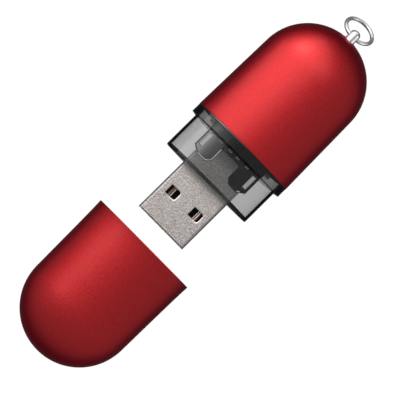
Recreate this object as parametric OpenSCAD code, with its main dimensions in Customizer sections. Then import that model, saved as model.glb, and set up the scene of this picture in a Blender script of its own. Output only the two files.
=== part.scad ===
// Pocket flash drive: a pull-off cap and a rear cover of the same rounded
// form, a clear two-part chassis between them, a standard A-type plug on a
// small circuit board, and a swinging ring for a key ring or a strap.
// Origin: the centre of the plug, in the plane of the chassis's front face.
// The plug points along -X, the rear cover's round end along +X, +Z is up.

/* [Covers] */
// Width of the cap at its mouth
cap_w = 24.1; // [23.8:0.1:24.6]
// Thickness of the cap at its mouth
cap_h = 10; // [9.8:0.1:11]
// Length of the cap
cap_l = 29.3; // [26:0.1:34]
// Distance from the flange to the cap's mouth while the cap lies pulled off
cap_pulled = 24.65; // [22:0.05:34]
// Width of the rear cover at its mouth
rear_w = 23.9; // [23.7:0.1:24.4]
// Thickness of the rear cover at its mouth
rear_h = 9.92; // [9.8:0.02:11]
// Length of the rear cover
rear_l = 29.71; // [29:0.01:34]
// Wall of both covers at their sides
side_wall = 1.05; // [0.95:0.05:1.1]
// Wall of both covers at top and bottom
top_wall = 0.85; // [0.75:0.05:0.9]
// Slope of the covers' sides towards the round end, in degrees
draft = 1.1; // [0.5:0.1:1.3]

/* [Chassis] */
// Length of the tongue that the cap slides over
tongue_l = 7.75; // [7.6:0.05:8.6]
// Length of the flange between the two covers
flange_l = 2.4; // [2:0.05:2.6]
// Length of the sleeve that plugs into the rear cover
sleeve_l = 6; // [5.5:0.1:7]
// Wall of the chassis at top and bottom
chassis_wall = 0.62; // [0.56:0.02:0.7]
// Wall of the chassis at its sides
chassis_side = 0.85; // [0.7:0.05:1.1]
// Thickness of the wall that the plug comes through
front_wall = 0.75; // [0.6:0.05:1]
// Play between the tongue and the cap, at each side
cap_play = 0.15; // [0.12:0.01:0.2]
// Play between the tongue and the cap, at top and bottom
cap_play_flat = 0.12; // [0.1:0.01:0.16]

/* [Plug] */
// Width of the plug
plug_w = 12; // [11.9:0.1:12.1]
// Height of the plug
plug_h = 4.5; // [4.4:0.1:4.6]
// Length of the plug in front of the chassis
plug_l = 12.45; // [11.8:0.05:13]
// Sheet that the plug's shell is folded from
plug_sheet = 0.3; // [0.25:0.01:0.32]
// How far the plug lies below the middle of the housing
plug_drop = 0.5; // [0.45:0.01:0.52]

/* [Circuit board] */
// Length of the board
board_l = 30.65; // [30.5:0.05:30.7]
// Width of the board
board_w = 13.7; // [13.5:0.05:13.75]
// Thickness of the board
board_t = 0.6; // [0.5:0.05:0.62]
// Width of the notch between the two front prongs
notch_w = 4.6; // [4:0.1:5]

/* [Key ring] */
// Outer diameter of the ring
ring_d = 7.1; // [6.6:0.1:8]
// Diameter of the ring's wire
wire_d = 0.8; // [0.7:0.05:0.85]
// Angle at which the ring hangs below the horizontal
ring_angle = 45; // [30:1:80]
// How far the lug stands out of the rear cover
lug_out = 2.4; // [2.2:0.1:3]

/* [Hidden] */
$fn = 96;

past = 1;                 // how far a cutting shape runs past the face it cuts
far = 60;                 // larger than the whole drive
mouth_edge = 0.2;         // chamfer around each cover's mouth
gap = 0.05;               // gap between the flange and the rear cover

// Lengthwise places
flange_x = tongue_l;
sleeve_x = flange_x + flange_l;
sleeve_end = sleeve_x + sleeve_l;
rear_x = sleeve_x + gap;
rear_tip = rear_x + rear_l;
cap_x = flange_x - cap_pulled;

// Cross-sections, as half widths and half heights of ellipses
tongue_ry = cap_w / 2 - side_wall - cap_play;
tongue_rz = cap_h / 2 - top_wall - cap_play_flat;
hollow_ry = tongue_ry - chassis_side;
hollow_rz = tongue_rz - chassis_wall;
flange_ry = rear_w / 2 - gap;
flange_rz = rear_h / 2 - gap;

// Height of the housing's middle plane, where the chassis is split
mid_z = plug_drop;

// Board
board_z = plug_h / 2;
board_top = board_z + board_t;
board_x = 2.85;
board_end = board_x + board_l;
notch_end = 6.9;
prong_chamfer = [0.95, 1.5];
notch_chamfer = 0.95;
notch_corner = 0.4;
corner_chamfer = 1.5;
board_edge = board_w / 2;

// Contacts and shield tabs
contact_y = [-3.5, -1, 1, 3.5];
contact_w = 0.65;
contact_t = 0.25;
pin_x = 7.72;
pin_w = 0.5;
tab_x = 4.65;
tab_l = 2.5;
shell_end = 7.2;
carrier_face = -3.1;      // front of the carrier's rear block

// Windows in the plug's two wide faces
window_l = 2.1;
window_w = 2.45;
window_y = 3.1;
window_x = -plug_l + 5.55;

// Rails that carry the board, and their rear bridge
rail_x = 9;
rail_in = 6.2;
rail_out = 7.9;
bridge_x = 31.8;
bridge_end = 34.6;
peg_x = 32.4;
peg_y = 5.2;
peg_r = 0.45;

// Snap bumps that hold the chassis in the rear cover
snap_x = sleeve_x + 2.5;
snap_l = 1.2;
snap_w = 4;
snap_rise = 0.2;

// Pegs and bosses inside the sleeve that line up the two chassis halves
key_x = sleeve_x + 3.6;
key_y = 9;
key_r = 0.45;
key_h = 1;
boss_r = 1;
boss_h = 1.45;

// Memory chip under the board, and controller on top of it
flash_centre = 21.4;
flash_l = 18.4;
flash_w = 12;
flash_t = 1;
controller_centre = 22;
controller_side = 7;
controller_t = 1.2;
standoff = 0.08;          // air between a chip and the board
lead_pitch = 0.5;
lead_w = 0.22;
lead_sheet = 0.13;

// Small parts on top of the board: places in plan, and sizes
crystal_place = [29.6, -2.6];
crystal_size = [3.2, 2.5, 0.55];
lid_rim = 0.2;
lid_t = 0.25;
regulator_place = [29.6, 2.4];
regulator_size = [2.9, 1.4, 0.9];
led_place = [12, 3.6];
led_base = [1.2, 2, 0.3];
led_lens_size = [1.1, 1.2, 0.3];

// Eyelet
lug_r = 1.15;
eye_x = rear_tip + 0.95;
eye_r = 0.65;
boss_face = rear_tip - 2.5;
stem_r = 0.7;
washer_r = 1.7;
washer_t = 0.3;
nut_r = 1.5;
nut_t = 0.9;
ring_r = (ring_d - wire_d) / 2;
ring_offset = ring_r - 0.11;

// Radius of the round end whose cone starts with the given mouth radius
function end_r(mouth_r, l) =
    (mouth_r - l * tan(draft)) / (1 / cos(draft) - tan(draft));

// Half outline of a cover: a straight sloping side that runs into a round end
module cover_outline(mouth_r, l, edge) {
    r = end_r(mouth_r, l);
    centre = l - r;
    meet = centre + r * sin(draft);
    polygon([[0, 0], [mouth_r - edge, 0], [mouth_r - edge * tan(draft), edge],
        [r * cos(draft), meet], [0, meet]]);
    translate([0, centre])
        intersection() {
            circle(r);
            square(r);
        }
}

// Solid with a cover's outline in plan and an elliptical cross-section
module cover_solid(mouth_w, mouth_h, l, edge) {
    scale([1, 1, mouth_h / mouth_w])
        rotate([0, 90, 0])
            for (quarter = [0:3])
                rotate([0, 0, 90 * quarter])
                    rotate_extrude(angle = 90)
                        cover_outline(mouth_w / 2, l, edge);
}

// Elliptical rod along X between two places
module oval_rod(ry, rz, x0, x1) {
    oval_cone(ry, ry, rz / ry, x0, x1);
}

// Elliptical rod that widens or narrows along X; its height is a share of its width
module oval_cone(ry0, ry1, share, x0, x1) {
    translate([x0, 0, 0])
        scale([1, 1, share])
            rotate([0, 90, 0])
                cylinder(r1 = ry0, r2 = ry1, h = x1 - x0);
}

// Box from its lowest and highest corners
module block(low, high) {
    translate(low)
        cube(high - low);
}

// Box that stands on a plane: its middle in plan, its size, and the plane's height
module block_on(place, size, z) {
    translate([place[0], place[1], z + size[2] / 2])
        cube(size, center = true);
}

// Its children, and their mirror image on the other side of the XZ plane
module both_sides() {
    children();
    mirror([0, 1, 0])
        children();
}

// Rounded rectangle, y by z, extruded along X between two places
module rounded_bar(w, h, r, x0, x1) {
    translate([x0, 0, 0])
        rotate([90, 0, 90])
            linear_extrude(x1 - x0)
                union() {
                    square([w - 2 * r, h], center = true);
                    square([w, h - 2 * r], center = true);
                    for (y = [-1, 1], z = [-1, 1])
                        translate([y * (w / 2 - r), z * (h / 2 - r)])
                            circle(r);
                }
}

// Hollow of a cover, open past its mouth, with the seat that the chassis enters
module cover_hollow(mouth_w, mouth_h, l, seat_ry, seat_rz, seat_l) {
    slope = past * tan(draft);
    translate([-past, 0, 0])
        cover_solid(mouth_w - 2 * side_wall + 2 * slope,
            (mouth_h - 2 * top_wall) * (1 + 2 * slope / (mouth_w - 2 * side_wall)),
            l - side_wall + past, 0.01);
    oval_rod(seat_ry, seat_rz, -past, seat_l);
}

// Cap, drawn with its mouth at x = 0 and its round end towards +X
module cap_shape() {
    grip_l = tongue_l - 2;
    grip_rise = 0.08;
    difference() {
        cover_solid(cap_w, cap_h, cap_l, mouth_edge);
        cover_hollow(cap_w, cap_h, cap_l, tongue_ry + cap_play,
            tongue_rz + cap_play_flat, tongue_l + 0.5);
    }
    // Low ribs that grip the tongue
    for (z = [-1, 1], y = [-3, 3])
        intersection() {
            block([1, y - 0.25, -cap_h], [1 + grip_l, y + 0.25, cap_h]);
            difference() {
                oval_rod(tongue_ry + 0.8, tongue_rz + 0.3, 0, far);
                oval_rod(tongue_ry + cap_play - grip_rise,
                    tongue_rz + cap_play_flat - grip_rise, -past, far);
                block([-past, -cap_w, z > 0 ? -cap_h : 0], [far, cap_w, z > 0 ? 0 : cap_h]);
            }
        }
}

module cap_cover() {
    color([0.80, 0.10, 0.12])
        translate([cap_x, 0, mid_z])
            mirror([1, 0, 0])
                cap_shape();
}

module rear_cover() {
    eyelet_boss_r = 1.9;
    color([0.85, 0.11, 0.12])
        translate([rear_x, 0, mid_z])
            difference() {
                cover_solid(rear_w, rear_h, rear_l, mouth_edge);
                difference() {
                    cover_hollow(rear_w, rear_h, rear_l, tongue_ry + gap,
                        tongue_rz + gap, sleeve_l + 0.2);
                    // Flat boss behind the eyelet
                    translate([boss_face - rear_x, 0, 0])
                        rotate([0, 90, 0])
                            cylinder(r = eyelet_boss_r, h = far);
                }
                // Pockets for the snap bumps
                block([snap_x - 0.2 - rear_x, -snap_w / 2 - 0.2, -tongue_rz - snap_rise - 0.1],
                    [snap_x + snap_l + 0.2 - rear_x, snap_w / 2 + 0.2,
                        tongue_rz + snap_rise + 0.1]);
                // Hole for the eyelet's stem, with a seat for its lug
                rotate([0, 90, 0])
                    cylinder(r = stem_r + gap, h = far);
                translate([rear_l - 0.45, 0, 0])
                    rotate([0, 90, 0])
                        cylinder(r = lug_r + gap, h = far);
            }
}

// Tongue, flange and sleeve of the chassis, before it is split
module chassis_tube() {
    tongue_share = tongue_rz / tongue_ry;
    flange_share = flange_rz / flange_ry;
    edge = 0.15;
    step_l = 0.42;        // length of the slope that rises to the flange
    translate([0, 0, mid_z])
        difference() {
            union() {
                oval_cone(tongue_ry - edge - past, tongue_ry, tongue_share, -past, edge);
                oval_rod(tongue_ry, tongue_rz, edge, sleeve_end);
                oval_cone(tongue_rz / flange_share, flange_ry, flange_share,
                    flange_x, flange_x + step_l);
                oval_rod(flange_ry, flange_rz, flange_x + step_l, sleeve_x - edge);
                oval_cone(flange_ry, flange_ry - edge, flange_share, sleeve_x - edge, sleeve_x);
            }
            oval_rod(hollow_ry, hollow_rz, front_wall, far);
            // Flat front face
            block([-2 * past, -far / 2, -far / 2], [0, far / 2, far / 2]);
        }
}

// Opening that the plug passes through
module plug_opening() {
    rounded_bar(plug_w + 2 * gap, plug_h + 2 * gap, 0.65, -past, front_wall + past);
}

module chassis_upper() {
    color([0.45, 0.46, 0.48, 0.5])
        union() {
            difference() {
                union() {
                    chassis_tube();
                    both_sides()
                        translate([key_x, key_y, mid_z])
                            cylinder(r = boss_r, h = boss_h);
                }
                block([-past, -far / 2, -far / 2], [far, far / 2, mid_z]);
                plug_opening();
                // Sockets for the pegs of the lower half
                both_sides()
                    translate([key_x, key_y, mid_z - past])
                        cylinder(r = key_r + gap, h = key_h + past + 0.1);
            }
            // Bump that snaps into the rear cover
            block([snap_x, -snap_w / 2, mid_z + tongue_rz - 0.4],
                [snap_x + snap_l, snap_w / 2, mid_z + tongue_rz + snap_rise]);
            // Ribs that hold the board down
            both_sides()
                block([rail_x, rail_in, board_top + gap], [sleeve_end, rail_in + 0.6, board_top + 0.45]);
        }
}

// Rails, bridge, pegs and ribs of the lower half
module board_cradle() {
    plate_low = mid_z - 2;
    plate_top = mid_z + 0.3;
    both_sides() {
        block([rail_x, rail_in, mid_z - 2.7], [sleeve_end, rail_out, board_z]);
        block([sleeve_end - 0.1, rail_in, plate_low], [bridge_x + 0.1, rail_out, board_z]);
        block([rail_x, board_edge + 0.1, board_z - 0.1], [bridge_x, rail_out, board_z + 0.2]);
        // Pegs through the board
        translate([peg_x, peg_y, plate_top - 0.1]) {
            cylinder(r = peg_r, h = board_top + 0.4 - plate_top + 0.1);
            cylinder(r = 0.8, h = board_z - plate_top + 0.1);
        }
        // Ribs under the plug
        block([front_wall - 0.1, 2.2, mid_z - hollow_rz - 0.2], [shell_end, 2.8, -plug_h / 2]);
    }
    translate([0, 0, plate_low])
        linear_extrude(plate_top - plate_low)
            polygon([[bridge_x, -rail_out], [bridge_end, -6], [bridge_end, 6], [bridge_x, rail_out]]);
    block([board_end + 0.1, -5.8, plate_low], [bridge_end, 5.8, mid_z + 2.2]);
    // Stop behind the plug
    block([shell_end + gap, -5, mid_z - hollow_rz * 0.9], [shell_end + 0.9, 5, -1]);
}

module chassis_lower() {
    color([0.42, 0.43, 0.45, 0.5])
        union() {
            difference() {
                chassis_tube();
                block([-past, -far / 2, mid_z], [far, far / 2, far / 2]);
                plug_opening();
            }
            both_sides() {
                translate([key_x, key_y, mid_z - boss_h])
                    cylinder(r = boss_r, h = boss_h);
                translate([key_x, key_y, mid_z - key_h])
                    cylinder(r = key_r, h = 2 * key_h);
            }
            block([snap_x, -snap_w / 2, mid_z - tongue_rz - snap_rise],
                [snap_x + snap_l, snap_w / 2, mid_z - tongue_rz + 0.4]);
            board_cradle();
        }
}

// One window of the plug, with its two corners of lower y rounded
module window_outline() {
    r = 0.45;
    translate([0, r])
        square([window_l, window_w - r]);
    translate([r, 0])
        square([window_l - 2 * r, window_w]);
    for (x = [r, window_l - r])
        translate([x, r])
            circle(r);
}

module usb_plug_shell() {
    corner_r = 0.6;
    color([0.75, 0.73, 0.72])
        union() {
            difference() {
                rounded_bar(plug_w, plug_h, corner_r, -plug_l, shell_end);
                rounded_bar(plug_w - 2 * plug_sheet, plug_h - 2 * plug_sheet,
                    corner_r - plug_sheet, -plug_l - past, shell_end + past);
                for (y = [-window_y, window_y])
                    translate([window_x, y - window_w / 2, -plug_h])
                        linear_extrude(2 * plug_h)
                            window_outline();
                // Seam of the folded sheet, along the underside
                block([-plug_l - past, -0.04, -plug_h], [shell_end + past, 0.04, 0]);
            }
            // Tabs that go up through the board
            both_sides()
                block([tab_x, plug_w / 2 - plug_sheet, 0], [tab_x + tab_l, plug_w / 2, board_top + 0.15]);
        }
}

module usb_contact_carrier() {
    carrier_w = plug_w - 2 * plug_sheet - 0.04;
    inner_h = plug_h - 2 * plug_sheet - 0.04;
    tongue_top = -0.05;
    nose_x = -plug_l + 0.5;
    color([0.05, 0.05, 0.055])
        difference() {
            rounded_bar(carrier_w, inner_h, 0.3, nose_x, shell_end - 0.1);
            // Room for the mating socket's blade
            block([nose_x - past, -plug_w, tongue_top], [carrier_face, plug_w, plug_h]);
            // Slots for the contacts
            for (y = contact_y)
                block([nose_x + 0.4, y - contact_w / 2 - gap, tongue_top - contact_t - gap],
                    [shell_end + past, y + contact_w / 2 + gap, tongue_top + 0.06]);
        }
}

// One contact: a flat blade that runs back and turns up through the board
module contact(y, nose) {
    blade_top = -0.05;
    block([nose, y - contact_w / 2, blade_top - contact_t],
        [pin_x + contact_t / 2, y + contact_w / 2, blade_top]);
    block([pin_x - contact_t / 2, y - pin_w / 2, blade_top - contact_t],
        [pin_x + contact_t / 2, y + pin_w / 2, board_top + 0.45]);
}

module usb_contacts() {
    outer_nose = -plug_l + 1.1;
    inner_nose = -plug_l + 2.1;
    color([0.85, 0.65, 0.30])
        for (y = contact_y)
            contact(y, abs(y) > 2 ? outer_nose : inner_nose);
}

module contact_solder() {
    color([0.80, 0.80, 0.78])
        for (y = contact_y)
            translate([pin_x, y, board_top])
                difference() {
                    cylinder(r1 = 0.4, r2 = 0.34, h = 0.3);
                    block([-contact_t / 2, -pin_w / 2, -past], [contact_t / 2, pin_w / 2, past]);
                }
}

module shield_tab_solder() {
    rim = 0.3;
    color([0.82, 0.82, 0.80])
        both_sides()
            difference() {
                block([tab_x - rim, plug_w / 2 - plug_sheet - rim, board_top],
                    [tab_x + tab_l + rim, plug_w / 2 + rim, board_top + 0.1]);
                block([tab_x, plug_w / 2 - plug_sheet, board_top - past],
                    [tab_x + tab_l, plug_w / 2, board_top + past]);
            }
}

// Outline of the board in plan, with two chamfered prongs at its front
module board_outline() {
    half_notch = notch_w / 2;
    difference() {
        polygon([
            [board_x + prong_chamfer[0], -board_edge],
            [board_x, -board_edge + prong_chamfer[1]],
            [board_x, board_edge - prong_chamfer[1]],
            [board_x + prong_chamfer[0], board_edge],
            [board_end - corner_chamfer, board_edge],
            [board_end, board_edge - corner_chamfer],
            [board_end, -board_edge + corner_chamfer],
            [board_end - corner_chamfer, -board_edge]]);
        polygon([
            [board_x - past, -half_notch - notch_chamfer - past],
            [board_x + notch_chamfer, -half_notch],
            [notch_end - notch_corner, -half_notch],
            [notch_end, -half_notch + notch_corner],
            [notch_end, half_notch - notch_corner],
            [notch_end - notch_corner, half_notch],
            [board_x + notch_chamfer, half_notch],
            [board_x - past, half_notch + notch_chamfer + past]]);
    }
}

module circuit_board() {
    color([0.07, 0.09, 0.08])
        difference() {
            translate([0, 0, board_z])
                linear_extrude(board_t)
                    board_outline();
            for (y = contact_y)
                translate([pin_x, y, 0])
                    cylinder(r = 0.36, h = board_top + past);
            both_sides() {
                block([tab_x - 0.05, plug_w / 2 - plug_sheet - 0.05, 0],
                    [tab_x + tab_l + 0.05, plug_w / 2 + 0.05, board_top + past]);
                translate([peg_x, peg_y, 0])
                    cylinder(r = peg_r + gap, h = board_top + past);
            }
        }
}

// Side view of a gull-wing lead: foot on the board, rise, shoulder into the package
module gull_wing(reach, rise, w) {
    foot = 0.45 * reach;
    rotate([90, 0, 0])
        translate([0, 0, -w / 2])
            linear_extrude(w)
                polygon([[0, 0], [foot, 0], [foot + 0.1, rise - lead_sheet],
                    [reach, rise - lead_sheet],
                    [reach, rise], [foot, rise], [foot - 0.1, lead_sheet], [0, lead_sheet]]);
}

module flash_memory_chip() {
    color([0.06, 0.06, 0.065])
        block([flash_centre - flash_l / 2, -flash_w / 2, board_z - standoff - flash_t],
            [flash_centre + flash_l / 2, flash_w / 2, board_z - standoff]);
}

module flash_memory_leads() {
    count = 24;
    reach = 0.8;
    color([0.78, 0.78, 0.76])
        for (side = [-1, 1], i = [0:count - 1])
            translate([flash_centre + side * (flash_l / 2 + reach),
                (i - (count - 1) / 2) * lead_pitch, board_z])
                scale([-side, 1, -1])
                    gull_wing(reach, 0.5, lead_w);
}

module controller_chip() {
    half = controller_side / 2;
    color([0.06, 0.06, 0.065])
        block([controller_centre - half, -half, board_top + standoff],
            [controller_centre + half, half, board_top + standoff + controller_t]);
}

module controller_leads() {
    count = 12;
    reach = 0.9;
    color([0.78, 0.78, 0.76])
        translate([controller_centre, 0, board_top])
            for (side = [0:3], i = [0:count - 1])
                rotate([0, 0, 90 * side])
                    translate([-controller_side / 2 - reach, (i - (count - 1) / 2) * lead_pitch, 0])
                        gull_wing(reach, 0.6, lead_w);
}

module clock_crystal() {
    color([0.55, 0.50, 0.42])
        block_on(crystal_place, crystal_size, board_top);
}

module crystal_lid() {
    color([0.80, 0.78, 0.72])
        block_on(crystal_place, [crystal_size[0] - 2 * lid_rim, crystal_size[1] - 2 * lid_rim, lid_t],
            board_top + crystal_size[2]);
}

module voltage_regulator() {
    color([0.06, 0.06, 0.065])
        block_on(regulator_place, regulator_size, board_top + standoff);
}

module regulator_leads() {
    reach = 0.55;
    color([0.78, 0.78, 0.76])
        translate([regulator_place[0], regulator_place[1], board_top]) {
            for (x = [-0.95, 0.95])
                translate([x, -regulator_size[1] / 2 - reach, 0])
                    rotate([0, 0, 90])
                        gull_wing(reach, 0.45, 0.4);
            translate([0, regulator_size[1] / 2 + reach, 0])
                rotate([0, 0, -90])
                    gull_wing(reach, 0.45, 0.4);
        }
}

// Small chip parts of one size on top of the board
module chip_parts(places, size) {
    for (place = places)
        block_on(place, size, board_top);
}

module ceramic_capacitors() {
    color([0.62, 0.50, 0.36])
        chip_parts([[13.6, -3.4], [13.6, 3.4], [15.6, -3.4], [15.6, 3.4]], [0.8, 1.6, 0.7]);
}

module chip_resistors() {
    color([0.08, 0.08, 0.09])
        chip_parts([[11.4, -1], [11.4, 1], [13.4, 0], [11.4, -4.2]], [1.6, 0.8, 0.45]);
}

module ferrite_beads() {
    color([0.16, 0.15, 0.15])
        chip_parts([[15.7, -1], [15.7, 1]], [1.6, 0.8, 0.6]);
}

module activity_led() {
    color([0.86, 0.84, 0.78])
        block_on(led_place, led_base, board_top);
}

module led_lens() {
    color([0.92, 0.90, 0.80, 0.7])
        block_on(led_place, led_lens_size, board_top + led_base[2]);
}

// Profile of the lug, from its seat to its rounded nose
module lug_profile(l) {
    nose_r = 1;
    square([lug_r, l - nose_r]);
    square([lug_r - nose_r, l]);
    translate([lug_r - nose_r, l - nose_r])
        intersection() {
            circle(nose_r);
            square(nose_r);
        }
}

module keyring_eyelet() {
    seat = 0.4;
    flare = 0.2;
    stem_end = boss_face - washer_t - nut_t - 0.3;
    color([0.80, 0.80, 0.82])
        difference() {
            union() {
                translate([rear_tip - seat, 0, mid_z])
                    rotate([0, 90, 0])
                        rotate_extrude()
                            lug_profile(lug_out + seat);
                translate([stem_end, 0, mid_z])
                    rotate([0, 90, 0])
                        cylinder(r = stem_r, h = rear_tip - stem_end);
            }
            translate([eye_x, 0, mid_z])
                rotate([90, 0, 0]) {
                    cylinder(r = eye_r, h = far, center = true);
                    for (side = [0, 180])
                        rotate([side, 0, 0])
                            translate([0, 0, lug_r - flare])
                                cylinder(r1 = eye_r, r2 = eye_r + 2 * flare, h = 2 * flare);
                }
        }
}

module eyelet_washer() {
    color([0.72, 0.72, 0.74])
        translate([boss_face - washer_t, 0, mid_z])
            rotate([0, 90, 0])
                difference() {
                    cylinder(r = washer_r, h = washer_t);
                    translate([0, 0, -past])
                        cylinder(r = stem_r + gap, h = washer_t + 2 * past);
                }
}

module eyelet_nut() {
    color([0.74, 0.72, 0.66])
        translate([boss_face - washer_t - nut_t, 0, mid_z])
            rotate([0, 90, 0])
                difference() {
                    cylinder(r = nut_r, h = nut_t, $fn = 6);
                    translate([0, 0, -past])
                        cylinder(r = stem_r + 0.02, h = nut_t + 2 * past);
                }
}

module key_ring() {
    joint_gap = 1.5;      // angle of the hairline joint in the wire
    joint_at = -65;
    color([0.78, 0.77, 0.78])
        translate([eye_x, 0, mid_z])
            rotate([0, ring_angle, 0])
                translate([ring_offset, 0, 0])
                    rotate([0, 0, joint_at + joint_gap / 2])
                        rotate_extrude(angle = 360 - joint_gap)
                            translate([ring_r, 0])
                                circle(wire_d / 2, $fn = 48);
}

cap_cover();
rear_cover();
chassis_upper();
chassis_lower();
usb_plug_shell();
usb_contact_carrier();
usb_contacts();
contact_solder();
shield_tab_solder();
circuit_board();
flash_memory_chip();
flash_memory_leads();
controller_chip();
controller_leads();
clock_crystal();
crystal_lid();
voltage_regulator();
regulator_leads();
ceramic_capacitors();
chip_resistors();
ferrite_beads();
activity_led();
led_lens();
keyring_eyelet();
eyelet_washer();
eyelet_nut();
key_ring();
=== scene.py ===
import math

import bmesh
import bpy
from mathutils import Matrix, Vector


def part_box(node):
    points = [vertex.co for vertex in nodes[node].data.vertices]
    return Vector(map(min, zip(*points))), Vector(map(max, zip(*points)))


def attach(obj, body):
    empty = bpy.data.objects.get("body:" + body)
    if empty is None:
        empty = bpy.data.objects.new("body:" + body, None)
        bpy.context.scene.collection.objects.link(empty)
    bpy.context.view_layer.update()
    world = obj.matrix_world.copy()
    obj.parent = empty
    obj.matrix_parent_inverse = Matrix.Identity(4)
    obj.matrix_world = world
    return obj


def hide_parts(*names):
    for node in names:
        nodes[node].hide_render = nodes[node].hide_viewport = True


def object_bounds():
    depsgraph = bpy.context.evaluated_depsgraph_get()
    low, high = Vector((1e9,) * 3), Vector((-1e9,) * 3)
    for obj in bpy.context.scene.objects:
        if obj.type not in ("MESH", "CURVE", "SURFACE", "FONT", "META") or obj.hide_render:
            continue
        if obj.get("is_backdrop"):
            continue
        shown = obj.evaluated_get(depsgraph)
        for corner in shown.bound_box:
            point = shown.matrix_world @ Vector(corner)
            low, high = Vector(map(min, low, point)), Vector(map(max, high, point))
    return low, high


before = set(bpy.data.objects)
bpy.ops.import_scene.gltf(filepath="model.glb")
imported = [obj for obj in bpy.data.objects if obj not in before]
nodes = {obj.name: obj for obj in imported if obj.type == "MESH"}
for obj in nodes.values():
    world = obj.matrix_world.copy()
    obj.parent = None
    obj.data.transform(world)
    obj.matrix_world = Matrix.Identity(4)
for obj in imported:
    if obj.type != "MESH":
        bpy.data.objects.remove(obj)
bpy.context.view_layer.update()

MM = 0.001
scene = bpy.context.scene

# Sizes as in the CAD, in millimetres: the covers
SIDE_WALL = 1.05
TOP_WALL = 0.85
DRAFT = math.radians(1.1)
TONGUE_LENGTH = 7.75
SLEEVE_LENGTH = 6.0
CAP_LENGTH = 29.3
REAR_LENGTH = 29.71
MID_Z = 0.5                     # height of the covers' axis
EYELET_SEAT_R = 1.2
EYELET_SEAT_DEPTH = 0.45
EYELET_BORE_R = 0.75
EYELET_BOSS_R = 1.9
EYELET_BOSS_DEPTH = 2.5

# The key ring
WIRE_R = 0.4
RING_R = 3.15
RING_ANGLE = math.radians(45)
EYE_FROM_TIP = 0.95
EYE_PLAY = 0.11                 # how far the wire's middle stands off the eye's axis
RING_JOINT = math.radians(-65)
RING_JOINT_GAP = math.radians(1.5)

# The board and the plug
PIN_X = 7.72
PIN_PLACES = [(PIN_X, y) for y in (-3.5, -1, 1, 3.5)]
HALF_NOTCH = 2.3
NOTCH_END = 6.9
NOTCH_CHAMFER = 0.95
PRONG_CHAMFER = (0.95, 1.5)     # along the board and across it
PLUG_HEIGHT = 4.5
WINDOW_X = -6.9
WINDOW_LENGTH = 2.1
WINDOW_Y = 3.1
WINDOW_WIDTH = 2.45

# Finer shaping of the covers
LIP = 0.12                      # rounding of a mouth's edges
CAP_FLARE = (0.10, 0.24)        # widening of the cap towards its mouth, across and up
FLARE_LENGTH = 2.6              # distance over which the widening fades to a third
AROUND = 120                    # points around a cover
SEAT_START = math.radians(66)   # where the round end runs into the eyelet's seat
PLAIN_END = math.radians(89.2)  # where a round end without an eyelet closes

# Lean of a small top face that mirrors the key light
TO_KEY = math.tan(math.radians(14))


# ---------------------------------------------------------------- numbers

def grey(value):
    """A colour or tint without hue."""
    return (value,) * 3


def angles(count):
    """Angles of this many points around a full turn."""
    return [2 * math.pi * i / count for i in range(count)]


def spread(start, end, steps):
    """Numbers from start to just before end."""
    return [start + (end - start) * i / steps for i in range(steps)]


def between(a, b, mix):
    """The number this share of the way from a to b."""
    return a + (b - a) * mix


# ---------------------------------------------------------------- materials

def new_material(name):
    """A material with a Principled shader; returns it with its node tree and its shader."""
    mat = bpy.data.materials.new(name)
    mat.use_nodes = True
    tree = mat.node_tree
    return mat, tree, tree.nodes["Principled BSDF"]


def object_coords(tree):
    return tree.nodes.new("ShaderNodeTexCoord").outputs["Object"]


def noise(tree, coords, size_mm, detail=2.0):
    """Noise whose features are about size_mm across."""
    node = tree.nodes.new("ShaderNodeTexNoise")
    node.inputs["Scale"].default_value = 1.0 / (size_mm * MM)
    node.inputs["Detail"].default_value = detail
    tree.links.new(coords, node.inputs["Vector"])
    return node.outputs["Fac"]


def ramp(tree, factor, stops):
    """Turns a factor into a colour; stops are (place from 0 to 1, colour)."""
    node = tree.nodes.new("ShaderNodeValToRGB")
    elements = node.color_ramp.elements
    while len(elements) < len(stops):
        elements.new(0.5)
    for element, (place, colour) in zip(elements, stops):
        element.position = place
        element.color = (*colour, 1.0)
    tree.links.new(factor, node.inputs["Fac"])
    return node.outputs["Color"]


def remap(tree, factor, low, high):
    """Turns a factor from 0 to 1 into a number from low to high."""
    node = tree.nodes.new("ShaderNodeMapRange")
    node.inputs["To Min"].default_value = low
    node.inputs["To Max"].default_value = high
    tree.links.new(factor, node.inputs["Value"])
    return node.outputs["Result"]


def bump(tree, shader, height, depth_mm):
    """Relief of this depth on a shader."""
    node = tree.nodes.new("ShaderNodeBump")
    node.inputs["Strength"].default_value = 1.0
    node.inputs["Distance"].default_value = depth_mm * MM
    tree.links.new(height, node.inputs["Height"])
    tree.links.new(node.outputs["Normal"], shader.inputs["Normal"])


def grained(name, dark, light, roughness, grain_mm, depth_mm, variation=0.05, metallic=1.0,
        specular=0.5):
    """A surface with a fine grain in its colour, its roughness and its relief."""
    mat, tree, shader = new_material(name)
    grain = noise(tree, object_coords(tree), grain_mm, 3.0)
    colour = ramp(tree, grain, [(0.3, dark), (0.7, light)])
    tree.links.new(colour, shader.inputs["Base Color"])
    rough = remap(tree, grain, roughness - variation, roughness + variation)
    tree.links.new(rough, shader.inputs["Roughness"])
    shader.inputs["Metallic"].default_value = metallic
    shader.inputs["Specular IOR Level"].default_value = specular
    bump(tree, shader, grain, depth_mm)
    return mat


def anodised(name, dark, light):
    """Satin coloured metal under a thin clear layer."""
    mat = grained(name, dark, light, roughness=0.385, grain_mm=0.30, depth_mm=0.030)
    shader = mat.node_tree.nodes["Principled BSDF"]
    shader.inputs["Coat Weight"].default_value = 0.8
    shader.inputs["Coat Roughness"].default_value = 0.26
    return mat


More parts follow.
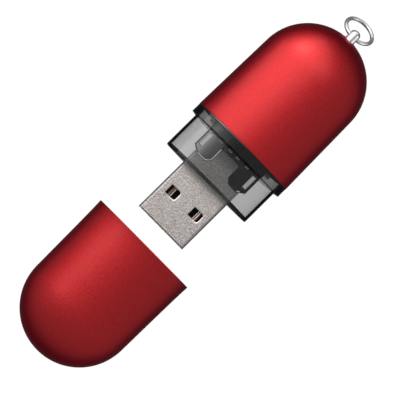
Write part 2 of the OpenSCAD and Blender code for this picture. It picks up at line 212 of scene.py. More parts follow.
def paint_light_and_shade(mat, axis, stops):
    """Paints light and shade into a material's colour along an axis, as a tint; stops are (place in
    millimetres, tint).
    """
    tree = mat.node_tree
    shader = tree.nodes["Principled BSDF"]
    colour = shader.inputs["Base Color"].links[0].from_socket
    split = tree.nodes.new("ShaderNodeSeparateXYZ")
    tree.links.new(object_coords(tree), split.inputs["Vector"])
    place = tree.nodes.new("ShaderNodeMapRange")
    start, end = stops[0][0], stops[-1][0]
    place.inputs["From Min"].default_value = start * MM
    place.inputs["From Max"].default_value = end * MM
    tree.links.new(split.outputs[axis], place.inputs["Value"])
    shares = [((x - start) / (end - start), tint) for x, tint in stops]
    tone = ramp(tree, place.outputs["Result"], shares)
    product = tree.nodes.new("ShaderNodeVectorMath")
    product.operation = "MULTIPLY"
    tree.links.new(colour, product.inputs[0])
    tree.links.new(tone, product.inputs[1])
    tree.links.new(product.outputs["Vector"], shader.inputs["Base Color"])
    return mat


def pass_shadow_light(tree, shader, colour):
    """Lets light through to what lies behind a shader, tinted, as through a film."""
    path = tree.nodes.new("ShaderNodeLightPath")
    clear = tree.nodes.new("ShaderNodeBsdfTransparent")
    clear.inputs["Color"].default_value = colour
    mix = tree.nodes.new("ShaderNodeMixShader")
    tree.links.new(path.outputs["Is Shadow Ray"], mix.inputs["Fac"])
    tree.links.new(shader.outputs["BSDF"], mix.inputs[1])
    tree.links.new(clear.outputs["BSDF"], mix.inputs[2])
    tree.links.new(mix.outputs["Shader"], tree.nodes["Material Output"].inputs["Surface"])


def smoke_plastic(name):
    """Clear grey plastic that dims what lies behind it."""
    mat, tree, shader = new_material(name)
    shader.inputs["Base Color"].default_value = (0.93, 0.93, 0.935, 1)
    shader.inputs["Transmission Weight"].default_value = 1.0
    shader.inputs["IOR"].default_value = 1.52
    grain = noise(tree, object_coords(tree), 0.6)
    tree.links.new(remap(tree, grain, 0.03, 0.06), shader.inputs["Roughness"])
    shader.inputs["Specular IOR Level"].default_value = 0.2
    absorption = tree.nodes.new("ShaderNodeVolumeAbsorption")
    absorption.inputs["Color"].default_value = (*grey(0.45), 1)
    absorption.inputs["Density"].default_value = 985.0
    output = tree.nodes["Material Output"]
    tree.links.new(absorption.outputs["Volume"], output.inputs["Volume"])
    pass_shadow_light(tree, shader, (*grey(0.64), 1))
    return mat


# Painted shade: the plug's metal darkens in the tongue's shade and again deeper inside it
INSIDE_TONGUE = (0.93, 1.0, 0.98)
PLUG_PAINTED_SHADE = [(-2.6, grey(1.0)), (-1.2, grey(0.8)), (-0.2, grey(0.5)), (0.3, INSIDE_TONGUE),
    (3.9, INSIDE_TONGUE), (6.6, (0.43, 0.45, 0.45))]
# Painted highlight: the prong's copper is bright along its outer edge and dims towards the notch
PLANE_PAINTED_HIGHLIGHT = [(2.4, grey(0.20)), (3.1, grey(0.22)), (3.8, grey(0.27)), (4.5, grey(0.44)),
    (5.5, grey(1.0))]

RED = anodised("anodised_red", (0.64, 0.010, 0.015), (0.80, 0.015, 0.022))
# Plug nickel, with painted shade along its length
PLUG = paint_light_and_shade(grained("plug_nickel", (0.48, 0.445, 0.43), (0.99, 0.915, 0.885),
    roughness=0.36, grain_mm=0.24, depth_mm=0.040), "X", PLUG_PAINTED_SHADE)
NICKEL = grained("satin_nickel", (0.56, 0.53, 0.52), (0.95, 0.895, 0.88),
    roughness=0.36, grain_mm=0.24, depth_mm=0.035)
CHROME = grained("chrome", (0.86, 0.83, 0.83), (0.92, 0.89, 0.89),
    roughness=0.31, grain_mm=0.5, depth_mm=0.001, variation=0.03)
CUT_EDGE = grained("cut_edge", (0.84, 0.82, 0.80), (0.94, 0.92, 0.90),
    roughness=0.30, grain_mm=0.26, depth_mm=0.004)
# Painted shade: dark metal for the plug's rolled lip, standing for the shade along it
LIP_PAINTED_SHADE = grained("lip_shade_metal", (0.16, 0.15, 0.15), (0.30, 0.28, 0.28),
    roughness=0.4, grain_mm=0.24, depth_mm=0.01)
GOLD = grained("gold", (0.26, 0.10, 0.07), (0.40, 0.17, 0.12),
    roughness=0.32, grain_mm=0.2, depth_mm=0.002)
SOLDER = grained("solder", (0.60, 0.60, 0.58), (0.76, 0.76, 0.74),
    roughness=0.28, grain_mm=0.25, depth_mm=0.006)
TIN = grained("tinned_edge", (0.80, 0.80, 0.78), (0.92, 0.92, 0.90),
    roughness=0.30, grain_mm=0.25, depth_mm=0.004)
SMOKE = smoke_plastic("smoke")
BLACK = grained("black_moulding", grey(0.006), grey(0.012),
    roughness=0.6, grain_mm=0.2, depth_mm=0.004, metallic=0, specular=0.15)
BOARD = grained("board", (0.009, 0.011, 0.010), (0.015, 0.018, 0.016),
    roughness=0.32, grain_mm=0.2, depth_mm=0.003, metallic=0, specular=0.3)
# Tinned copper whose colour carries a painted highlight across the prong
PLANE = paint_light_and_shade(grained("tinned_copper", (0.80, 0.80, 0.79), (0.98, 0.98, 0.97),
    roughness=0.34, grain_mm=0.2, depth_mm=0.012), "Y", PLANE_PAINTED_HIGHLIGHT)
TRACE = grained("trace", (0.018, 0.026, 0.020), (0.028, 0.038, 0.031),
    roughness=0.28, grain_mm=0.2, depth_mm=0.003, metallic=0)
# Painted shade: glossy black for the strip in the joint between the flange and the rear cover
JOINT_SHADE_BLACK = grained("joint_shade_gloss", grey(0.008), grey(0.012),
    roughness=0.2, grain_mm=0.2, depth_mm=0.001, variation=0.02, metallic=0)
EPOXY = grained("epoxy", (0.014, 0.014, 0.015), (0.028, 0.028, 0.030),
    roughness=0.5, grain_mm=0.15, depth_mm=0.006, metallic=0)
CERAMIC = grained("ceramic", (0.30, 0.20, 0.12), (0.40, 0.28, 0.17),
    roughness=0.4, grain_mm=0.2, depth_mm=0.004, metallic=0)
WHITE = grained("white_laminate", (0.82, 0.81, 0.78), (0.90, 0.89, 0.86),
    roughness=0.4, grain_mm=0.2, depth_mm=0.003, metallic=0)

for name, material in {
    "cap_cover": RED, "rear_cover": RED, "chassis_upper": SMOKE, "chassis_lower": SMOKE,
    "usb_plug_shell": PLUG, "usb_contact_carrier": BLACK, "usb_contacts": GOLD,
    "contact_solder": SOLDER, "shield_tab_solder": SOLDER, "circuit_board": BOARD,
    "flash_memory_chip": EPOXY, "flash_memory_leads": SOLDER, "controller_chip": EPOXY,
    "controller_leads": SOLDER, "clock_crystal": CERAMIC, "crystal_lid": GOLD,
    "voltage_regulator": EPOXY, "regulator_leads": SOLDER, "ceramic_capacitors": CERAMIC,
    "chip_resistors": BLACK, "ferrite_beads": BLACK, "activity_led": WHITE, "led_lens": WHITE,
    "keyring_eyelet": CHROME, "eyelet_washer": NICKEL, "eyelet_nut": NICKEL, "key_ring": CHROME,
}.items():
    nodes[name].data.materials.clear()
    nodes[name].data.materials.append(material)


# ---------------------------------------------------------------- mesh helpers

def new_piece(name, verts, faces, material, body, slot, smooth=30):
    """A mesh piece from points in millimetres, riding on a body."""
    mesh = bpy.data.meshes.new(name)
    mesh.from_pydata([Vector(v) * MM for v in verts], [], faces)
    bm = bmesh.new()
    bm.from_mesh(mesh)
    bmesh.ops.recalc_face_normals(bm, faces=bm.faces)
    bm.to_mesh(mesh)
    bm.free()
    mesh.shade_smooth()
    mesh.set_sharp_from_angle(angle=math.radians(smooth))
    mesh.materials.append(material)
    piece = bpy.data.objects.new(name, mesh)
    scene.collection.objects.link(piece)
    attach(piece, body)
    return piece


def skin(rings, loop=False):
    """Points and faces of a surface through rings of as many points each.

    With loop the last ring joins the first; otherwise each end is closed by one face."""
    count = len(rings[0])
    verts = [point for ring in rings for point in ring]
    faces = []
    for i in range(len(rings) if loop else len(rings) - 1):
        a, b = i * count, (i + 1) % len(rings) * count
        for j in range(count):
            k = (j + 1) % count
            faces.append((a + j, a + k, b + k, b + j))
    if not loop:
        faces.append(tuple(range(count)))
        faces.append(tuple(range((len(rings) - 1) * count, len(rings) * count)))
    return verts, faces


def merge(parts):
    """One list of points and one of faces from several."""
    verts, faces = [], []
    for more_verts, more_faces in parts:
        start = len(verts)
        verts += more_verts
        faces += [tuple(start + i for i in face) for face in more_faces]
    return verts, faces


def bevel(obj, width_mm, material_index=-1):
    """Rounds an object's sharp edges without changing its mesh."""
    modifier = obj.modifiers.new("edges", "BEVEL")
    modifier.width = width_mm * MM
    modifier.segments = 2
    modifier.limit_method = "ANGLE"
    modifier.angle_limit = math.radians(40)
    modifier.harden_normals = True
    modifier.material = material_index


# ---------------------------------------------------------------- covers

class Cover:
    """One surface of a cover: a sloping side that runs into a round end, over an ellipse.

    Distances run from the mouth towards the round end."""

    def __init__(self, half_width, half_height, length, flare=(0.0, 0.0)):
        self.mouth = half_width
        self.share = half_height / half_width
        slope = math.tan(DRAFT)
        self.end_r = (half_width - length * slope) / (1 / math.cos(DRAFT) - slope)
        self.centre = length - self.end_r
        self.meet = self.centre + self.end_r * math.sin(DRAFT)
        self.flare = flare

    def oval(self, along, radius, narrowing=(0.0, 0.0)):
        """Ring of an elliptical section: points (along, across, up)."""
        width, height = radius - narrowing[0], self.share * radius - narrowing[1]
        return [(along, width * math.cos(a), height * math.sin(a)) for a in angles(AROUND)]

    def side(self, along):
        """Ring of the sloping side."""
        fade = (1 - math.exp(-along / FLARE_LENGTH)) * max(1 - along / self.meet, 0)
        radius = self.mouth - along * math.tan(DRAFT)
        return self.oval(along, radius, [flare * fade for flare in self.flare])

    def end(self, angle):
        """Ring of the round end, at an angle that is 90 degrees at the tip."""
        along = self.centre + self.end_r * math.sin(angle)
        return self.oval(along, self.end_r * math.cos(angle))

    def end_ring(self, across, up):
        """Ring on the round end over an ellipse of these half sizes about the axis."""
        ring = []
        for a in angles(AROUND):
            y, z = across * math.cos(a), up * math.sin(a)
            rest = self.end_r ** 2 - y ** 2 - (z / self.share) ** 2
            ring.append((self.centre + math.sqrt(rest), y, z))
        return ring


def circle_ring(along, radius):
    """Ring of a circular section about the axis."""
    return [(along, radius * math.cos(a), radius * math.sin(a)) for a in angles(AROUND)]


def mouth_rings(outer, inner):
    """Rounded lip between the inner and the outer surface, from inside to outside."""
    half = LIP / 2
    rings = [inner.oval(LIP, inner.mouth)]
    for a in (math.radians(30), math.radians(60)):
        rings.append(inner.oval(half - half * math.sin(a), inner.mouth + half - half * math.cos(a)))
    rings.append(inner.oval(0, inner.mouth + half))
    rings.append(outer.oval(0, outer.mouth - LIP))
    for degrees in (22, 45, 68):
        a = math.radians(degrees)
        rings.append(outer.oval(LIP * (1 - math.cos(a)), outer.mouth - LIP * (1 - math.sin(a))))
    return rings


def eyelet_rings(outer, inner, seat_x):
    """Rings from the round end over the eyelet's seat and bore to the boss inside."""
    seat_steps, boss_steps = 8, 7
    reach = math.cos(SEAT_START)
    wide, high = outer.end_r * reach, outer.share * outer.end_r * reach
    rings = []
    for i in range(1, seat_steps + 1):
        mix = i / seat_steps
        rings.append(outer.end_ring(between(wide, EYELET_SEAT_R, mix),
            between(high, EYELET_SEAT_R, mix)))
    boss_x = seat_x + EYELET_SEAT_DEPTH - EYELET_BOSS_DEPTH
    rings += [circle_ring(seat_x, EYELET_SEAT_R), circle_ring(seat_x, EYELET_BORE_R),
        circle_ring(boss_x, EYELET_BORE_R), circle_ring(boss_x, EYELET_BOSS_R)]
    wide, high = inner.end_r * reach, inner.share * inner.end_r * reach
    for i in range(boss_steps):
        mix = i / boss_steps
        rings.append(inner.end_ring(between(EYELET_BOSS_R, wide, mix),
            between(EYELET_BOSS_R, high, mix)))
    return rings


def cover_rings(outer, inner, seat, eyelet_seat_x=None):
    """Rings of a cover's closed skin, from the lip over the outside and back along the inside.

    The inside steps outwards at the seat, the distance from the mouth where the chassis ends."""
    last, tip_steps = (SEAT_START, 22) if eyelet_seat_x else (PLAIN_END, 30)
    flared, seat_edge = 2 * FLARE_LENGTH, seat + 0.1
    rings = mouth_rings(outer, inner)
    rings += [outer.side(x) for x in spread(LIP, flared, 8) + spread(flared, outer.meet, 10)]
    rings += [outer.end(a) for a in spread(DRAFT, last, tip_steps) + [last]]
    if eyelet_seat_x:
        rings += eyelet_rings(outer, inner, eyelet_seat_x)
    rings += [inner.end(a) for a in spread(last, DRAFT, 16)]
    rings += [inner.side(x) for x in spread(inner.meet, seat_edge, 6) + [seat_edge]]
    rings.append(inner.oval(seat, inner.mouth))
    return rings


def make_cover(name, node, length, mouth_x, direction, body, slot, seat, eyelet=False,
        flare=(0.0, 0.0)):
    """A cover's smooth skin, which stands for its CAD node."""
    low, high = (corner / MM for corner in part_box(node))
    half_width, half_height = (high.y - low.y) / 2, (high.z - low.z) / 2
    outer = Cover(half_width, half_height, length, flare)
    inner = Cover(half_width - SIDE_WALL, half_height - TOP_WALL, length - SIDE_WALL)
    rings = cover_rings(outer, inner, seat, length - EYELET_SEAT_DEPTH if eyelet else None)
    placed = [[(mouth_x + direction * x, y, MID_Z + z) for x, y, z in ring] for ring in rings]
    piece = new_piece(name, *skin(placed, loop=True), RED, body, slot)
    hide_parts(node)


rear_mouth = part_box("rear_cover")[0].x / MM
rear_tip = rear_mouth + REAR_LENGTH
make_cover("cap_shell", "cap_cover", CAP_LENGTH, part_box("cap_cover")[1].x / MM, -1,
    "cap", "red_cap", TONGUE_LENGTH + 0.5, flare=CAP_FLARE)
make_cover("rear_shell", "rear_cover", REAR_LENGTH, rear_mouth, 1,
    "drive", "red_cover", SLEEVE_LENGTH + 0.2, eyelet=True)


def make_joint_shade_strip():
    """Dark glossy strip over the flange's rear edge, in the joint with the rear cover, as painted
    shade in that joint; it leans towards the key light, and a card of its own lights its glint.
    """
    low, high = (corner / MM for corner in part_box("rear_cover"))
    mouth = Cover((high.y - low.y) / 2, (high.z - low.z) / 2, REAR_LENGTH)
    start, end, depth = rear_mouth - 0.22, rear_mouth + 0.02, 0.2
    top = mouth.mouth - 0.02
    drop = (end - start) * math.tan(math.radians(11))
    profile = [(start, top - depth), (start, top), (end, top - drop), (end, top - depth)]
    rings = [[(x, y, MID_Z + z) for x, y, z in mouth.oval(*point)] for point in profile]
    return new_piece("joint_shade_strip", *skin(rings, loop=True), JOINT_SHADE_BLACK, "drive", "black_insulator")


joint_shade_strip = make_joint_shade_strip()


# ---------------------------------------------------------------- key ring

def make_ring():
    """Bent wire whose ends nearly meet, hanging from the eyelet."""
    around, along = 24, 120
    turn = Matrix.Rotation(RING_ANGLE, 4, "Y")
    centre = Vector((rear_tip + EYE_FROM_TIP, 0, MID_Z))
    offset = Vector((RING_R - EYE_PLAY, 0, 0))
    start = RING_JOINT + RING_JOINT_GAP / 2
    end = RING_JOINT - RING_JOINT_GAP / 2 + 2 * math.pi
    ease = 0.06 / RING_R        # angle over which a cut end is rounded
    stations = [(start, 0.86), (start + ease / 3, 0.95)]
    stations += [(start + ease + (end - start - 2 * ease) * i / along, 1)
        for i in range(along + 1)]
    stations += [(end - ease / 3, 0.95), (end, 0.86)]
    rings = []
    for angle, share in stations:
        out = Vector((math.cos(angle), math.sin(angle), 0))
        ring = []
        for a in angles(around):
            rise = Vector((0, 0, WIRE_R * share * math.sin(a)))
            local = offset + out * (RING_R + WIRE_R * share * math.cos(a)) + rise
            ring.append(tuple(centre + turn @ local))
        rings.append(ring)
    ring = new_piece("split_ring", *skin(rings), CHROME, "ring", "chrome_ring")
    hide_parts("key_ring")
    return ring


split_ring = make_ring()


# ---------------------------------------------------------------- shapes of small details

def turned(profile, place):
    """Solid turned about a vertical axis at a place, from points (radius, height)."""
    return skin([[(place[0] + r * math.cos(a), place[1] + r * math.sin(a), place[2] + h)
        for a in angles(20)] for r, h in profile])


def soften(corners, cut):
    """The corners with each inner one cut back and rounded."""
    steps = 3
    path = [corners[0]]
    for before, corner, after in zip(corners, corners[1:], corners[2:]):
        corner = Vector(corner)
        start = corner + (Vector(before) - corner).normalized() * cut
        end = corner + (Vector(after) - corner).normalized() * cut
        for i in range(steps + 1):
            t = i / steps
            path.append(tuple(start * (1 - t) ** 2 + corner * 2 * t * (1 - t) + end * t ** 2))
    path.append(corners[-1])
    return path


def left_of(path, i, closed=False):
    """Unit vector in plan to the left of a path at one of its points."""
    if closed:
        before, after = path[i - 1], path[(i + 1) % len(path)]
    else:
        before, after = path[max(i - 1, 0)], path[min(i + 1, len(path) - 1)]
    along = (Vector(after) - Vector(before)).normalized()
    return Vector((-along.y, along.x, 0))


def facet(path, half_width, low, lean):
    """Strip whose top leans to the path's left; the path runs along the middle of the top."""
    drop = half_width * lean
    rings = []
    for i, point in enumerate(path):
        side = left_of(path, i) * half_width
        left, right = Vector(point) + side, Vector(point) - side
        rings.append([(left.x, left.y, low), (left.x, left.y, left.z - drop),
            (right.x, right.y, right.z + drop), (right.x, right.y, low)])
    return skin(rings)


def ribbon(path, half_width, low, high):
    """Flat strip along a path in plan."""
    return facet([(x, y, high) for x, y, _ in path], half_width, low, 0)


def box_mesh(low, high):
    """Box between two corners."""
    (x0, y0, z0), (x1, y1, z1) = low, high
    return skin([[(x0, y0, z), (x1, y0, z), (x1, y1, z), (x0, y1, z)] for z in (z0, z1)])


def loose_boxes(mesh):
    """Lowest and highest corner, in millimetres, of each separate part of a mesh."""
    bm = bmesh.new()
    bm.from_mesh(mesh)
    bmesh.ops.remove_doubles(bm, verts=bm.verts, dist=0.001 * MM)
    left = set(bm.verts)
    boxes = []
    while left:
        group, queue = set(), [left.pop()]
        while queue:
            vert = queue.pop()
            group.add(vert)
            for edge in vert.link_edges:
                other = edge.other_vert(vert)
                if other in left:
                    left.remove(other)
                    queue.append(other)
        points = [vert.co / MM for vert in group]
        boxes.append((Vector([min(p[i] for p in points) for i in range(3)]),
            Vector([max(p[i] for p in points) for i in range(3)])))
    bm.free()
    return sorted(boxes, key=lambda pair: tuple(pair[0]))


# ---------------------------------------------------------------- details of the board and plug

board_low, board_high = (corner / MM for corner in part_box("circuit_board"))
board_top = board_high.z
board_front = board_low.x
board_edge = board_high.y


def make_fillets():
    """Solder around the four contact pins, with two bright tips on each."""
    profile = [(0.36, 0), (0.35, 0.02), (0.24, 0.12), (0.17, 0.24), (0.12, 0.30), (0.06, 0.31)]
    tip_l, tip_apart, tip_r = 0.38, 0.26, 0.13
    tip_foot, tip_end, tip_crown = 0.1, 0.3, 0.47       # heights above the board
    outline = ((-1, tip_end), (-0.5, tip_crown), (0.5, tip_crown), (1, tip_end))
    parts = []
    for x, y in PIN_PLACES:
        parts.append(turned(profile, (x, y, board_top)))
        for side in (-tip_apart, tip_apart):
            path = [(x + tip_l * share, y + side, board_top + height) for share, height in outline]
            parts.append(facet(path, tip_r, board_top + tip_foot, TO_KEY))
    fillets = new_piece("solder_fillets", *merge(parts), SOLDER, "drive", "solder")
    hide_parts("contact_solder")


def make_edge_plating():
    """Tinned edges of the prongs: round the nose of one, and at the corner of the other."""
    inset, top, foot = 0.12, board_top + 0.05, board_top - 0.1
    chamfer = NOTCH_CHAMFER + 0.05
    nose = [(board_front + inset, board_edge - 1.55, top),
        (board_front + inset, HALF_NOTCH + chamfer, top),
        (board_front + chamfer, HALF_NOTCH + inset, top),
        (NOTCH_END - 0.3, HALF_NOTCH + inset, top)]
    corner = [(board_front + 0.15, 1.6 - board_edge, top),
        (board_front + 0.5, 1.05 - board_edge, top)]
    parts = [facet(soften(nose, 0.35), 0.11, foot, TO_KEY), facet(corner, 0.09, foot, TO_KEY)]
    new_piece("edge_plating", *merge(parts), TIN, "drive", "solder", smooth=60)


def make_ground_plane():
    """Tinned copper on one prong, bowed down towards the prong's outer edge; its colour carries a
    painted highlight along that edge.
    """
    edge, low, height, bow = 0.27, board_top - 0.01, 0.03, 0.10
    front, back = board_front + edge, 10.3
    inside, outside = HALF_NOTCH + edge, board_edge - edge
    chamfer_l, chamfer_w = PRONG_CHAMFER
    rings = []
    for y in spread(inside, outside, 14) + [outside]:
        inner_cut = max(HALF_NOTCH + NOTCH_CHAMFER - y, 0)
        outer_cut = max(y - (board_edge - chamfer_w), 0) * chamfer_l / chamfer_w
        x = front + max(inner_cut, outer_cut)
        z = board_top + height + bow * (1 - ((y - inside) / (outside - inside)) ** 2)
        rings.append([(x, y, low), (x, y, z), (back, y, z), (back, y, low)])
    new_piece("ground_plane", *skin(rings), PLANE, "drive", "board")


def make_contact_ridges():
    """Two fine raised lines along each contact's blade, moved towards the plug's middle."""
    apart, inwards, top, foot = 0.2, 0.2, -0.01, -0.08
    long_nose, short_nose, back = -10.8, -9.8, -3.4
    parts = []
    for _, y in PIN_PLACES:
        nose = long_nose if abs(y) > 2 else short_nose
        for side in (-apart, apart):
            place = y + side - math.copysign(inwards, y)
            parts.append(facet([(nose, place, top), (back, place, top)], 0.06, foot, TO_KEY))
    new_piece("contact_ridges", *merge(parts), CUT_EDGE, "drive", "gold_contact")


def window_path(x0, y0, x1, y1):
    """Outline of a plug window, anticlockwise, rounded at its two corners of lower y."""
    corner = 0.45
    path = [(x1, y1, 0), (x0, y1, 0)]
    for x, y, start in ((x0 + corner, y0 + corner, 180), (x1 - corner, y0 + corner, 270)):
        for step in range(5):
            a = math.radians(start + 90 * step / 4)
            path.append((x + corner * math.cos(a), y + corner * math.sin(a), 0))
    return path


def make_window_rims():
    """Pressed edges around the plug's four windows, leaning inwards."""
    width = 0.19
    face = PLUG_HEIGHT / 2
    foot, inner_top = face - 0.1, face + 0.005
    outer_top = inner_top + width * TO_KEY
    parts = []
    for y in (-WINDOW_Y, WINDOW_Y):
        path = window_path(WINDOW_X, y - WINDOW_WIDTH / 2,
            WINDOW_X + WINDOW_LENGTH, y + WINDOW_WIDTH / 2)
        for up in (1, -1):
            rings = []
            for i, point in enumerate(path):
                inner = Vector(point)
                outer = inner - left_of(path, i, closed=True) * width
                rings.append([(inner.x, inner.y, up * foot), (inner.x, inner.y, up * inner_top),
                    (outer.x, outer.y, up * outer_top), (outer.x, outer.y, up * foot)])
            parts.append(skin(rings, loop=True))
    new_piece("window_rims", *merge(parts), CUT_EDGE, "drive", "plug_nickel")


def make_plug_lip():
    """Rolled lip across the plug's mouth, on its top and underside, in dark metal as painted shade.
    """
    low, high = (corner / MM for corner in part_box("usb_plug_shell"))
    face, rise, foot, inset = PLUG_HEIGHT / 2, 0.12, 0.05, 0.35
    start, width = low.x + 0.13, 0.17
    profile = [(start, face - foot), (start, face + 0.005), (start + width, face + rise),
        (start + width, face - foot)]
    parts = []
    for up in (1, -1):
        parts.append(skin([[(x, y, up * z) for x, z in profile]
            for y in (low.y + inset, 0, high.y - inset)]))
    new_piece("plug_lip", *merge(parts), LIP_PAINTED_SHADE, "drive", "plug_nickel")


def make_traces():
    """Tracks on the board's top, from the contacts back to the parts."""
    low, high = board_top - 0.01, board_top + 0.03
    parts = []
    for y, half_width in ((-3.5, 0.4), (3.5, 0.4), (-1, 0.12), (1, 0.12)):
        track = [(PIN_X + 0.5, y, 0), (10, y, 0), (11, y * 0.9, 0), (16.4, y * 0.9, 0)]
        parts.append(ribbon(soften(track, 0.3), half_width, low, high))
    for x in (24.9, 27.6):
        parts.append(ribbon([(x, -5.6, 0), (x, 5.6, 0)], 0.15, low, high))
    for y in (-5.9, 5.9):
        parts.append(ribbon([(9.5, y, 0), (31, y, 0)], 0.25, low, high))
    new_piece("board_traces", *merge(parts), TRACE, "drive", "board")


def make_end_caps():
    """Tinned ends of the small chip parts."""
    proud, share = 0.012, 0.22      # how far they stand out, and how much of the part they cover
    parts = []
    for node in ("ceramic_capacitors", "chip_resistors", "ferrite_beads"):
        for low, high in loose_boxes(nodes[node].data):
            size = high - low
            axis = 0 if size.x > size.y else 1
            for far_end in (False, True):
                cap_low = Vector([low[i] - proud for i in range(3)])
                cap_high = Vector([high[i] + proud for i in range(3)])
                cap_low.z = board_top
                if far_end:
                    cap_low[axis] = high[axis] - size[axis] * share
                else:
                    cap_high[axis] = low[axis] + size[axis] * share
                parts.append(box_mesh(cap_low, cap_high))
    caps = new_piece("end_caps", *merge(parts), SOLDER, "drive", "solder")
    bevel(caps, 0.03)


def make_tab_tops():
    """Bright tops on the solder of the plug's tabs, leaning towards the key light."""
    inset, share, foot = 0.12, 0.42, 0.05
    parts = []
    for low, high in loose_boxes(nodes["shield_tab_solder"].data):
        half_width, middle = (high.y - low.y) * share, (low.y + high.y) / 2
        top = high.z + half_width * TO_KEY
        path = [(low.x + inset, middle, top), (high.x - inset, middle, top)]
        parts.append(facet(path, half_width, high.z - foot, TO_KEY))
    new_piece("tab_solder_tops", *merge(parts), TIN, "drive", "solder")


make_fillets()
make_edge_plating()
make_ground_plane()
make_contact_ridges()
make_window_rims()
make_plug_lip()
make_traces()
make_end_caps()
make_tab_tops()


# ---------------------------------------------------------------- rounded edges of the CAD pieces

nodes["usb_plug_shell"].data.materials.append(CUT_EDGE)
bevel(nodes["usb_plug_shell"], 0.11, material_index=1)
bevel(nodes["usb_contacts"], 0.1)
for name in ("usb_contact_carrier", "circuit_board", "flash_memory_chip", "controller_chip",
        "ceramic_capacitors", "chip_resistors", "ferrite_beads", "activity_led",
        "voltage_regulator"):
    bevel(nodes[name], 0.05)
bevel(nodes["chassis_upper"], 0.04)
bevel(nodes["chassis_lower"], 0.04)


# ---------------------------------------------------------------- studio

KEY_COLOUR = (1, 0.985, 0.93)
FLOOR_DIM = 0.06                # the floor's radiance in reflections
CAMERA_HEIGHT = 270 * MM        # an estimate
VIEW_WIDTH = 78.4 * MM          # what the photo's frame spans at the drive's height


def area_light(name, place, target, size, radiance, colour=(1, 1, 1)):
    """A rectangular light of this radiance."""
    data = bpy.data.lights.new(name, "AREA")
    data.shape = "RECTANGLE"
    data.size, data.size_y = size
    data.energy = math.pi * size[0] * size[1] * radiance
    data.color = colour
    lamp = bpy.data.objects.new(name, data)
    lamp.location = place
    lamp.rotation_euler = (Vector(target) - Vector(place)).to_track_quat("-Z", "Y").to_euler()
    scene.collection.objects.link(lamp)
    return lamp


def softbox(name, tilt, distance, span, radiance, colour):
    """A light at these tilts from the vertical, towards +X and +Y, and of these spans.

    Both are in degrees, as seen from the drive."""
    direction = Vector([math.tan(math.radians(angle)) for angle in tilt] + [1]).normalized()
    size = [2 * distance * math.tan(math.radians(angle / 2)) for angle in span]
    return area_light(name, direction * distance, (0, 0, 0), size, radiance, colour)


def graded_softbox(**settings):
    """A softbox that fades towards its upper and lower edges."""
    lamp = softbox(**settings)
    lamp.data.use_nodes = True
    tree = lamp.data.node_tree
    place = tree.nodes.new("ShaderNodeNewGeometry")
    split = tree.nodes.new("ShaderNodeSeparateXYZ")
    tree.links.new(place.outputs["Parametric"], split.inputs["Vector"])
    stops = [(0.0, grey(0.2)), (0.26, grey(1.0)), (1.0, grey(0.0))]
    tone = ramp(tree, split.outputs["Y"], stops)
    tree.links.new(tone, tree.nodes["Emission"].inputs["Color"])
    return lamp


def light_only(lamps, pieces):
    """Lets these lamps light nothing but these pieces."""
    collection = bpy.data.collections.new(lamps[0].name + "_pieces")
    for piece in pieces:
        collection.objects.link(piece)
    for lamp in lamps:
        lamp.light_linking.receiver_collection = collection


def light_all_but(lamps, pieces):
    """Lets these lamps light everything but these pieces."""
    light_only(lamps, pieces)
    for item in lamps[0].light_linking.receiver_collection.collection_objects:
        item.light_linking.link_state = "EXCLUDE"


def ring_cards():
    """Cards around the key ring."""
    middle = Vector((rear_tip, 0, 0)) * MM
    distance, size, radiance = 0.3, (0.4, 0.4), 0.9
    directions = ((1, 0.2, 0.1), (0.1, 1, 0.1), (0.1, -1, 0.1), (0.2, 0, -1))
    return [area_light("card_%d" % i, middle + Vector(direction) * distance, middle, size, radiance)
        for i, direction in enumerate(directions)]


def make_floor(z):
    """Pale to the eye and through the clear plastic, and dim in the metal's reflections."""
    bpy.ops.mesh.primitive_plane_add(size=6, location=(0, 0, z))
    floor = bpy.context.object
    floor.name = "floor"
    mat, tree, shader = new_material("floor")
    shader.inputs["Base Color"].default_value = (*grey(0.06), 1)
    shader.inputs["Roughness"].default_value = 0.9
    shader.inputs["Specular IOR Level"].default_value = 0.1
    path = tree.nodes.new("ShaderNodeLightPath")
    direct = tree.nodes.new("ShaderNodeMath")
    direct.operation = "ADD"
    direct.use_clamp = True
    tree.links.new(path.outputs["Is Camera Ray"], direct.inputs[0])
    tree.links.new(path.outputs["Transmission Depth"], direct.inputs[1])
    glow = remap(tree, direct.outputs["Value"], FLOOR_DIM, 1.0)
    tree.links.new(glow, shader.inputs["Emission Strength"])
    tint = ramp(tree, direct.outputs["Value"], [(0.0, (0.65, 0.65, 0.9)), (1.0, grey(1))])
    tree.links.new(tint, shader.inputs["Emission Color"])
    floor.data.materials.append(mat)
    floor.visible_shadow = False
    floor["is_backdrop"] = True


def make_camera():
    """Nearly straight down, the drive's axis running up to the right at about 45 degrees."""
    aim = Vector((-3.1, -1.6, 0)) * MM
    place = aim + Vector((-9.9 * MM, 0, CAMERA_HEIGHT))
    data = bpy.data.cameras.new("camera")
    data.sensor_width = 36
    data.lens = data.sensor_width * (place - aim).length / VIEW_WIDTH
    data.clip_start = 0.01
    camera = bpy.data.objects.new("camera", data)
    look = (aim - place).normalized()
    turn = math.radians(45 - 0.3)
    up = Vector((math.sin(turn), math.cos(turn), 0))
    right = look.cross(up).normalized()
    up = right.cross(look).normalized()
    axes = Matrix((right, up, -look)).transposed().to_4x4()
    camera.matrix_world = Matrix.Translation(place) @ axes
    scene.collection.objects.link(camera)
    scene.camera = camera


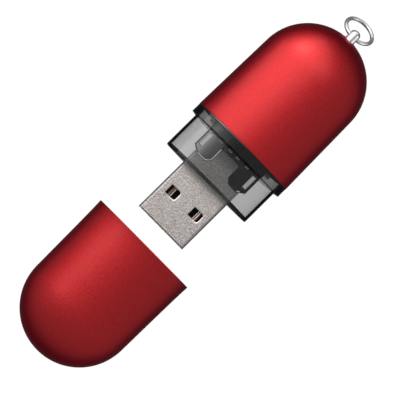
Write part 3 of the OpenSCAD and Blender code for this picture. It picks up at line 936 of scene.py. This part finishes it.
def make_world():
    """A dome, pale overhead and dark towards the horizon, most of all at the drive's two ends."""
    world = bpy.data.worlds.new("world")
    scene.world = world
    world.use_nodes = True
    tree = world.node_tree
    coords = tree.nodes.new("ShaderNodeTexCoord")
    axis = tree.nodes.new("ShaderNodeVectorMath")
    axis.operation = "DOT_PRODUCT"
    axis.inputs[1].default_value = (-0.22, 0.22, 1)
    both_sides = tree.nodes.new("ShaderNodeVectorMath")
    both_sides.operation = "ABSOLUTE"
    tree.links.new(coords.outputs["Generated"], both_sides.inputs[0])
    tree.links.new(both_sides.outputs["Vector"], axis.inputs[0])
    height = tree.nodes.new("ShaderNodeMapRange")
    height.interpolation_type = "SMOOTHSTEP"
    for socket, value in (("From Min", 0.05), ("From Max", 0.74), ("To Min", 0.05),
            ("To Max", 0.31)):
        height.inputs[socket].default_value = value
    tree.links.new(axis.outputs["Value"], height.inputs["Value"])
    background = tree.nodes["Background"]
    tree.links.new(height.outputs["Result"], background.inputs["Strength"])
    stops = [(0.05, (0.8, 0.85, 1.4)), (0.30, (1, 0.985, 1.03))]
    tree.links.new(ramp(tree, height.outputs["Result"], stops), background.inputs["Color"])


def make_lights():
    """Key lamps over the +Y side and towards the ring's end, and lamps for single pieces."""
    smoke_pieces = [nodes["chassis_upper"], nodes["chassis_lower"]]
    keys = [
        softbox("key", tilt=(23, 26), distance=0.6, span=(52, 46), radiance=1.13,
            colour=KEY_COLOUR),
        softbox("key_middle", tilt=(31, 28), distance=0.55, span=(12, 12), radiance=3.6,
            colour=(1, 0.975, 0.93)),
        softbox("key_wing", tilt=(-14, 23), distance=0.6, span=(20, 50), radiance=0.12,
            colour=KEY_COLOUR)]
    light_all_but(keys, smoke_pieces)
    smoke_key = graded_softbox(name="smoke_key", tilt=(22, 24), distance=0.6, span=(56, 50),
        radiance=1.5, colour=KEY_COLOUR)
    light_only([smoke_key], smoke_pieces)
    light_only(ring_cards(), [split_ring, nodes["keyring_eyelet"]])
    # A card of its own gives the dark strip in the flange's joint its glint
    joint_glint_card = softbox("joint_glint_card", tilt=(22, 30), distance=0.5, span=(20, 22), radiance=5,
        colour=(1, 1, 1))
    light_only([joint_glint_card], [joint_shade_strip])


make_floor(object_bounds()[0].z)
make_camera()
make_world()
make_lights()
scene.view_settings.view_transform = "Standard"
